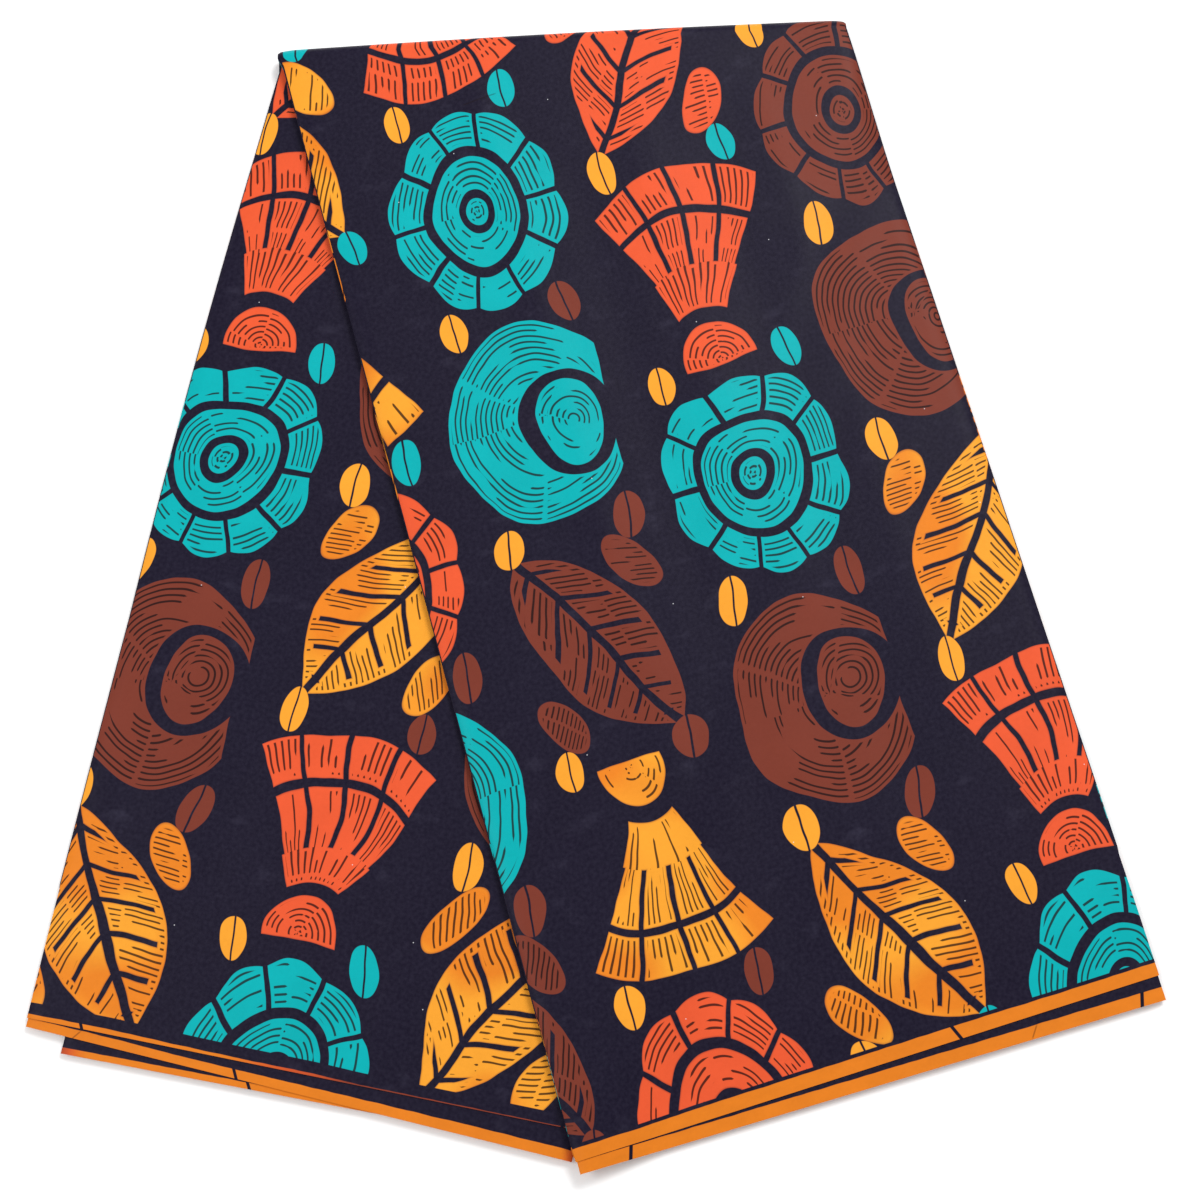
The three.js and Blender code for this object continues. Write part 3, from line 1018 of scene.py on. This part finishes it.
def finish_piece(made, slot_name, *nodes):
    """Gives a piece the cloth that all pieces share, parents it to the root body and hides the solids that
    it stands for.
    """
    made.data.materials.append(bpy.data.materials.get(CLOTH_MATERIAL) or print_material(CLOTH_MATERIAL))
    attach(made, "root")
    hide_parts(*nodes)


# ---- Operators ----

LONG_COLUMNS = columns_of(*PLY_COLUMNS, FACE_ROLL_TURN)


class WAXPRINT_OT_face_ply(Operator):
    """Add the outermost ply, which shows on the front leg and runs over the top fold"""

    bl_idname = "waxprint.face_ply"
    bl_label = "Face Ply"
    bl_options = {"REGISTER", "UNDO"}

    def execute(self, context):
        made = ply_sheet(
            "face_ply",
            rows_of(*FACE_ROWS),
            LONG_COLUMNS,
            STACK,
            "front",
            {"front": FRONT_ENDS["face"], "back": BACK_ENDS["face"]},
            print_from="front",
            border="face",
        )
        finish_piece(made, "printed_cotton", "outer_ply")
        return {"FINISHED"}


class WAXPRINT_OT_inner_ply(Operator):
    """Add the innermost ply, which shows on the back leg and lines the front leg"""

    bl_idname = "waxprint.inner_ply"
    bl_label = "Inner Ply"
    bl_options = {"REGISTER", "UNDO"}

    def execute(self, context):
        made = ply_sheet(
            "lining_ply",
            rows_of(*LINING_ROWS),
            LONG_COLUMNS,
            0.0,
            "back",
            {"front": FRONT_ENDS["inner"], "back": BACK_ENDS["inner"]},
            print_from="back",
            border="inner",
        )
        finish_piece(made, "printed_cotton", "inner_ply")
        return {"FINISHED"}


class WAXPRINT_OT_tucked_plies(Operator):
    """Add the plies whose selvedges show past the face plies at the two ends"""

    bl_idname = "waxprint.tucked_plies"
    bl_label = "Tucked Plies"
    bl_options = {"REGISTER", "UNDO"}

    def execute(self, context):
        tucked = (
            ("front_tucked_ply", "front_second_ply", "front", STACK - TUCKED_DEPTH, "second", 0.0),
            ("back_tucked_ply", "back_second_ply", "back", TUCKED_DEPTH, "second", 0.0),
            ("back_lower_ply", "back_third_ply", "back", LOWER_DEPTH, "third", THIRD_PLY_INSET),
        )
        for name, node, leg_name, depth, end_name, left_inset in tucked:
            counts = (TUCKED_ROWS, 0, 0) if leg_name == "front" else (0, 0, TUCKED_ROWS)
            made = ply_sheet(
                name,
                rows_of(*counts, first_share=STEP_SHARE),
                LONG_COLUMNS,
                depth,
                leg_name,
                {leg_name: ENDS[leg_name][end_name]},
                print_from=leg_name,
                border=leg_name + "_" + end_name,
                left_inset=left_inset,
            )
            finish_piece(made, "selvedge_cotton", node)
            leg = LEGS[leg_name]
            length = (leg["left_length"] + leg["right_length"]) / 2 * (1 - STEP_SHARE) + TUCKED_PAST
            length * MM
        return {"FINISHED"}


class WAXPRINT_OT_inner_layers(Operator):
    """Add the hidden plies as one rounded bundle, with folds down its sides and selvedges at its ends"""

    bl_idname = "waxprint.inner_layers"
    bl_label = "Inner Layers"
    bl_options = {"REGISTER", "UNDO"}

    def execute(self, context):
        made = bundle("inner_layers")
        finish_piece(made, "ply_edges", "hidden_layers")
        return {"FINISHED"}


def bundle(name):
    """The hidden layers: a closed box of rows, columns and levels whose sides and ends are layered."""
    rows = rows_of(*BUNDLE_ROWS)
    side, turn, share = columns_of(*BUNDLE_COLUMNS, FACE_ROLL_TURN)
    row_count, column_count, level_count = len(rows), len(side), BUNDLE_LEVELS + 1
    level = np.arange(level_count) / BUNDLE_LEVELS
    fold_wave = np.abs(np.sin(np.pi * level * SIDE_FOLDS))
    side_bulge = LOOP_BULGE * fold_wave**0.5 - LOOP_INSET
    ply_number = np.minimum((level * END_PLIES).astype(int), END_PLIES - 1)
    ply_wave = np.abs(np.sin(np.pi * level * END_PLIES)) ** 0.5
    on_side = np.zeros(column_count)
    on_side[0], on_side[-1] = 1.0, -1.0
    numbers = -np.ones((row_count, column_count, level_count), int)
    points, cloth, edge = [], [], []
    count = 0
    for r, row in enumerate(rows):
        leg_name, place_share = row
        stepped = leg_name != "fold" and place_share >= STEP_SHARE
        low_depth = BACK_STEP_DEPTH if stepped and leg_name == "back" else SKIN_DEPTH
        high_depth = STACK - (FRONT_STEP_DEPTH if stepped and leg_name == "front" else SKIN_DEPTH)
        low = stack_point((side, turn, share), low_depth, roll_share_of(row, "back"), "back")
        high = stack_point((side, turn, share), high_depth, roll_share_of(row, "front"), "front")
        is_end = r in (0, row_count - 1)
        for k in range(level_count):
            if is_end or k in (0, BUNDLE_LEVELS):
                chosen = np.arange(column_count)
            else:
                chosen = np.array((0, column_count - 1))
            inset = mix(low[0], high[0], level[k])[chosen]
            depth = mix(low[1], high[1], level[k])[chosen]
            inner_side = 0 < k < BUNDLE_LEVELS
            inset = inset - on_side[chosen] * (side_bulge[k] if inner_side else 0.0)
            push = 0.0
            end = NO_END if leg_name == "fold" else ENDS[leg_name]["hidden"]
            if is_end:
                push = END_STAGGER[leg_name][ply_number[k]] - END_GROOVE * (1 - ply_wave[k])
            place = in_space(row, inset, depth, end, push)
            points.append(place)
            numbers[r, chosen, k] = count + np.arange(len(chosen))
            count += len(chosen)
            run = run_of(row, inset, end)
            if leg_name == "fold":
                far = FOLD_PRINT_PLACE + 0 * run
            else:
                far = length_at(LEGS[leg_name], end, inset / FOLD_WIDTH) - run
            far = far + (BUNDLE_END_HEM if is_end else BUNDLE_SIDE_HEM)
            fold_number = math.floor(level[k] * SIDE_FOLDS * LAST_FOLD_SHARE)
            place_across = inset * CLOTH_WIDTH / FOLD_WIDTH
            across = place_across + LAYER_PRINT_STEP * fold_number + depth * DEPTH_PRINT_STEP
            cloth.append(np.column_stack((across, far)))
            edge.append(np.column_stack((far, np.full_like(far, BUNDLE_MARGIN))))
    faces_and_flips = (
        (numbers[:, :, -1], False),
        (numbers[:, :, 0], True),
        (numbers[:, 0, :], True),
        (numbers[:, -1, :], False),
        (numbers[0, :, :], False),
        (numbers[-1, :, :], True),
    )
    quads = [grid_faces(corner, flip) for corner, flip in faces_and_flips]
    made = new_object(name, np.concatenate(points), np.concatenate(quads))
    paint_map(made, "cloth", np.concatenate(cloth) * MM)
    paint_map(made, "edge", np.concatenate(edge) * MM)
    paint_map(made, "marks", np.full((count, 2), (TICK_REPEAT / 2 * MM, 0.0)))
    select_only(made)
    bpy.ops.object.mode_set(mode="EDIT")
    bpy.ops.mesh.select_all(action="SELECT")
    bpy.ops.mesh.normals_make_consistent(inside=False)
    bpy.ops.object.mode_set(mode="OBJECT")
    bpy.ops.object.shade_smooth_by_angle(angle=math.radians(BUNDLE_SMOOTH_ANGLE))
    return made


def add_light(name, size, power, place):
    """A square soft light at a place, turned to the middle of the floor."""
    light = bpy.data.lights.new(name, "AREA")
    light.shape = "SQUARE"
    light.size = size
    light.energy = power
    holder = bpy.data.objects.new(name, light)
    holder.location = place
    toward = -np.array(place)
    holder.rotation_euler = (
        math.atan2(math.hypot(toward[0], toward[1]), -toward[2]),
        0.0,
        math.atan2(toward[1], toward[0]) - math.pi / 2,
    )
    bpy.context.scene.collection.objects.link(holder)


class WAXPRINT_OT_studio(Operator):
    """Add the pale floor, the soft lights and the camera"""

    bl_idname = "waxprint.studio"
    bl_label = "Studio"
    bl_options = {"REGISTER", "UNDO"}

    def execute(self, context):
        settings = context.scene.wax_print_studio
        bpy.ops.object.select_all(action="DESELECT")
        bpy.ops.mesh.primitive_grid_add(
            x_subdivisions=8, y_subdivisions=8, size=FLOOR_SIZE, location=(0, 0, FLOOR_TOP)
        )
        floor = context.active_object
        floor.name = "studio_floor"
        bpy.ops.object.transform_apply(location=True, rotation=True, scale=True)
        paper = bpy.data.materials.new("studio_paper")
        paper.use_nodes = True
        shader = paper.node_tree.nodes["Principled BSDF"]
        shader.inputs["Base Color"].default_value = tuple(settings.floor_colour)
        shader.inputs["Roughness"].default_value = PAPER_ROUGHNESS
        shader.inputs["Specular IOR Level"].default_value = PAPER_GLOSS
        floor.data.materials.append(paper)

        world = bpy.data.worlds.new("studio_light")
        world.use_nodes = True
        background = world.node_tree.nodes["Background"]
        background.inputs["Color"].default_value = WHITE
        background.inputs["Strength"].default_value = settings.fill_strength
        context.scene.world = world

        add_light("key_light", KEY_SIZE, settings.key_power, KEY_PLACE)
        add_light("side_light", SIDE_SIZE, settings.side_power, SIDE_PLACE)

        lens = bpy.data.cameras.new("camera")
        lens.lens = CAMERA_LENS
        lens.sensor_width = CAMERA_SENSOR
        lens.clip_end = CAMERA_REACH
        camera = bpy.data.objects.new("camera", lens)
        tilt = settings.camera_tilt
        camera.location = (
            CAMERA_AIM[0] * MM,
            (CAMERA_AIM[1] - CAMERA_DISTANCE * math.sin(tilt)) * MM,
            CAMERA_DISTANCE * math.cos(tilt) * MM,
        )
        camera.rotation_euler = (tilt, 0.0, 0.0)
        context.scene.collection.objects.link(camera)
        context.scene.camera = camera
        context.scene.view_settings.view_transform = "Standard"
        return {"FINISHED"}


class WAXPRINT_PT_sidebar(Panel):
    """Lists the cloth's pieces and its settings"""

    bl_idname = "WAXPRINT_PT_sidebar"
    bl_label = "Folded Wax Print"
    bl_space_type = "VIEW_3D"
    bl_region_type = "UI"
    bl_category = "Wax Print"

    def draw(self, context):
        layout = self.layout
        for operator in OPERATORS:
            layout.operator(operator.bl_idname)
        for group in (
            context.scene.wax_print_sizes,
            context.scene.wax_print_dyes,
            context.scene.wax_print_studio,
        ):
            box = layout.box()
            for name in group.__annotations__:
                box.prop(group, name)


OPERATORS = (
    WAXPRINT_OT_studio,
    WAXPRINT_OT_face_ply,
    WAXPRINT_OT_inner_ply,
    WAXPRINT_OT_inner_layers,
    WAXPRINT_OT_tucked_plies,
)
CLASSES = (WaxPrintSizes, WaxPrintDyes, WaxPrintStudio, *OPERATORS, WAXPRINT_PT_sidebar)


def register():
    for item in CLASSES:
        bpy.utils.register_class(item)
    bpy.types.Scene.wax_print_sizes = PointerProperty(type=WaxPrintSizes)
    bpy.types.Scene.wax_print_dyes = PointerProperty(type=WaxPrintDyes)
    bpy.types.Scene.wax_print_studio = PointerProperty(type=WaxPrintStudio)


def unregister():
    del bpy.types.Scene.wax_print_studio
    del bpy.types.Scene.wax_print_dyes
    del bpy.types.Scene.wax_print_sizes
    for item in reversed(CLASSES):
        bpy.utils.unregister_class(item)


def main():
    register()
    bpy.ops.waxprint.studio()
    bpy.ops.waxprint.face_ply()
    bpy.ops.waxprint.inner_ply()
    bpy.ops.waxprint.inner_layers()
    bpy.ops.waxprint.tucked_plies()


if __name__ == "__main__":
    main()
